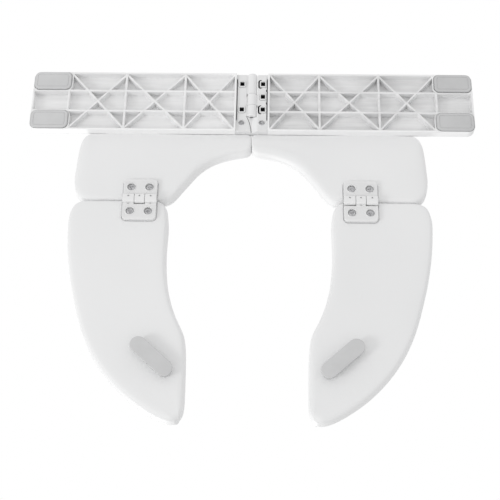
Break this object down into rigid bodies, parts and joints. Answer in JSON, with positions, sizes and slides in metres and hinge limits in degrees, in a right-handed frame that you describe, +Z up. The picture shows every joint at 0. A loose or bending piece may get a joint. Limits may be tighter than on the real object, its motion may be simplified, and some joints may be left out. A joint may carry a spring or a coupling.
{
  "type": "toilet seat reducer",
  "caption": "Folding padded toilet seat reducer: foam rear pads on ribbed bars joined by a centre hinge, with hinged foam wings round an open front and rubber-like rest pads below.",
  "frame": {"origin": "bottom centre of the bounding box with the seat unfolded: on the rest pads' faces, on the line of the centre hinge", "axes": "+X towards the sitter's left along the bars, +Y towards the rear where the bars are, +Z up out of the cushions' sitting side"},
  "size_m": [0.38, 0.316, 0.0244],
  "materials": {
    "cushion_foam": "soft matt closed-cell foam",
    "bar_plastic": "satin moulded plastic",
    "hinge_plastic": "satin moulded plastic",
    "pad_silicone": "matt silicone",
    "screw_steel": "plated",
    "board_plastic": "plain moulded plastic"
  },
  "bodies": {
    "left_half": {"left_bar": "bar_plastic", "left_centre_leaf": "hinge_plastic", "left_centre_screw": "screw_steel", "centre_hinge_pin": "screw_steel", "left_rear_cushion": "cushion_foam", "left_side_leaf_rear": "hinge_plastic", "left_side_pin": "screw_steel", "left_side_screw_rear_inner": "screw_steel", "left_side_screw_rear_outer": "screw_steel", "left_bar_pad_front": "pad_silicone", "left_bar_pad_rear": "pad_silicone"},
    "right_half": {"right_bar": "bar_plastic", "right_centre_leaf": "hinge_plastic", "right_centre_screw": "screw_steel", "right_rear_cushion": "cushion_foam", "right_side_leaf_rear": "hinge_plastic", "right_side_pin": "screw_steel", "right_side_screw_rear_inner": "screw_steel", "right_side_screw_rear_outer": "screw_steel", "right_bar_pad_front": "pad_silicone", "right_bar_pad_rear": "pad_silicone"},
    "left_wing": {"left_wing_cushion": "cushion_foam", "left_wing_board": "board_plastic", "left_side_leaf_wing": "hinge_plastic", "left_side_screw_wing_inner": "screw_steel", "left_side_screw_wing_outer": "screw_steel", "left_wing_pad": "pad_silicone"},
    "right_wing": {"right_wing_cushion": "cushion_foam", "right_wing_board": "board_plastic", "right_side_leaf_wing": "hinge_plastic", "right_side_screw_wing_inner": "screw_steel", "right_side_screw_wing_outer": "screw_steel", "right_wing_pad": "pad_silicone"}
  },
  "joints": [
    {"name": "centre_fold", "type": "hinge", "parent": "left_half", "child": "right_half", "pos_m": [0, 0.1285, 0.00525], "axis": [0, -1, 0], "range_deg": [0, 100]},
    {"name": "left_wing_fold", "type": "hinge", "parent": "left_half", "child": "left_wing", "pos_m": [0.0913, 0.03275, 0.0043], "axis": [1, 0, 0], "range_deg": [0, 175]},
    {"name": "right_wing_fold", "type": "hinge", "parent": "right_half", "child": "right_wing", "pos_m": [-0.0913, 0.03275, 0.0043], "axis": [1, 0, 0], "range_deg": [0, 175]}
  ]
}
